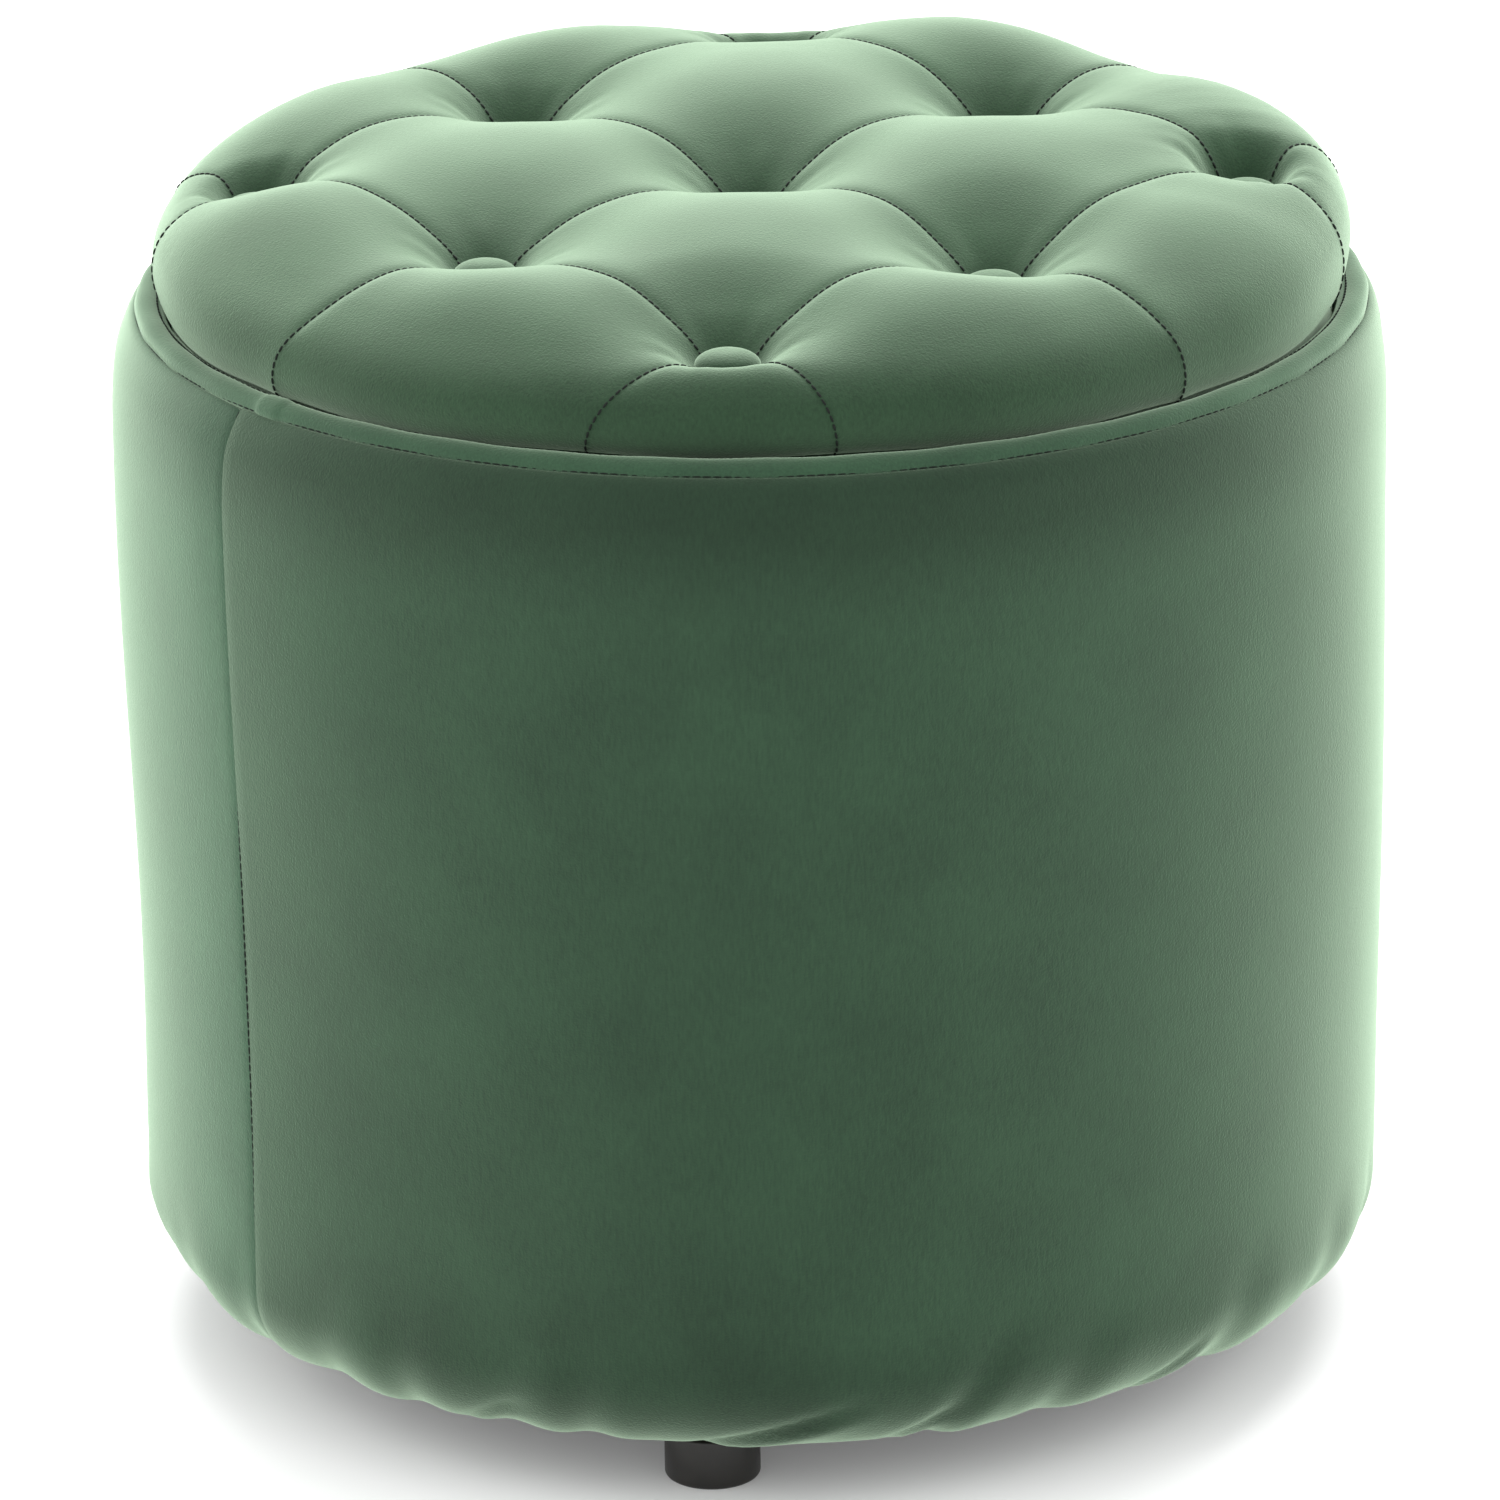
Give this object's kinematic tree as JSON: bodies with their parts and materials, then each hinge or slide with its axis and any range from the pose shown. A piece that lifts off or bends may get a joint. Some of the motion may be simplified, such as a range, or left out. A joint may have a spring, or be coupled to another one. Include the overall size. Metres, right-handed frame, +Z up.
{
  "type": "storage ottoman",
  "caption": "Round upholstered storage ottoman: a velvet-covered drum on small feet, closed by a button-tufted lid that drops into the rim and lifts off.",
  "frame": {"origin": "on the floor under the centre of the drum", "axes": "+Z up along the drum's axis; the front, which faces the viewer, is towards -Y; +X is to the viewer's right"},
  "size_m": [0.44, 0.44, 0.433],
  "materials": {
    "velvet": "short-pile velvet",
    "plywood": "sanded, unfinished",
    "foam": "open-cell foam",
    "lining": "spun non-woven",
    "foot_plastic": "satin moulded",
    "screw_steel": "zinc plated",
    "twine": "twisted waxed twine"
  },
  "bodies": {
    "drum": {"base_board": "plywood", "shell_panel": "plywood", "ledge_ring": "plywood", "side_padding": "foam", "bottom_roll": "foam", "front_cover_panel": "velvet", "rear_cover_panel": "velvet", "rim_welt": "velvet", "rim_facing": "velvet", "wall_lining": "lining", "floor_panel": "lining", "dust_cover": "lining", "foot_1": "foot_plastic", "foot_2": "foot_plastic", "foot_3": "foot_plastic", "foot_4": "foot_plastic", "foot_screw_1": "screw_steel", "foot_screw_2": "screw_steel", "foot_screw_3": "screw_steel", "foot_screw_4": "screw_steel"},
    "lid": {"lid_cover": "velvet", "lid_foam": "foam", "lid_board": "plywood", "lid_lining": "lining", "button_1": "velvet", "button_2": "velvet", "button_3": "velvet", "button_4": "velvet", "button_5": "velvet", "button_6": "velvet", "button_7": "velvet", "button_8": "velvet", "button_9": "velvet", "button_tie_1": "twine", "button_tie_2": "twine", "button_tie_3": "twine", "button_tie_4": "twine", "button_tie_5": "twine", "button_tie_6": "twine", "button_tie_7": "twine", "button_tie_8": "twine", "button_tie_9": "twine"}
  },
  "joints": [
    {"name": "lid_lift", "type": "slide", "parent": "drum", "child": "lid", "axis": [0, 0, 1], "range_m": [0, 0.25]}
  ]
}
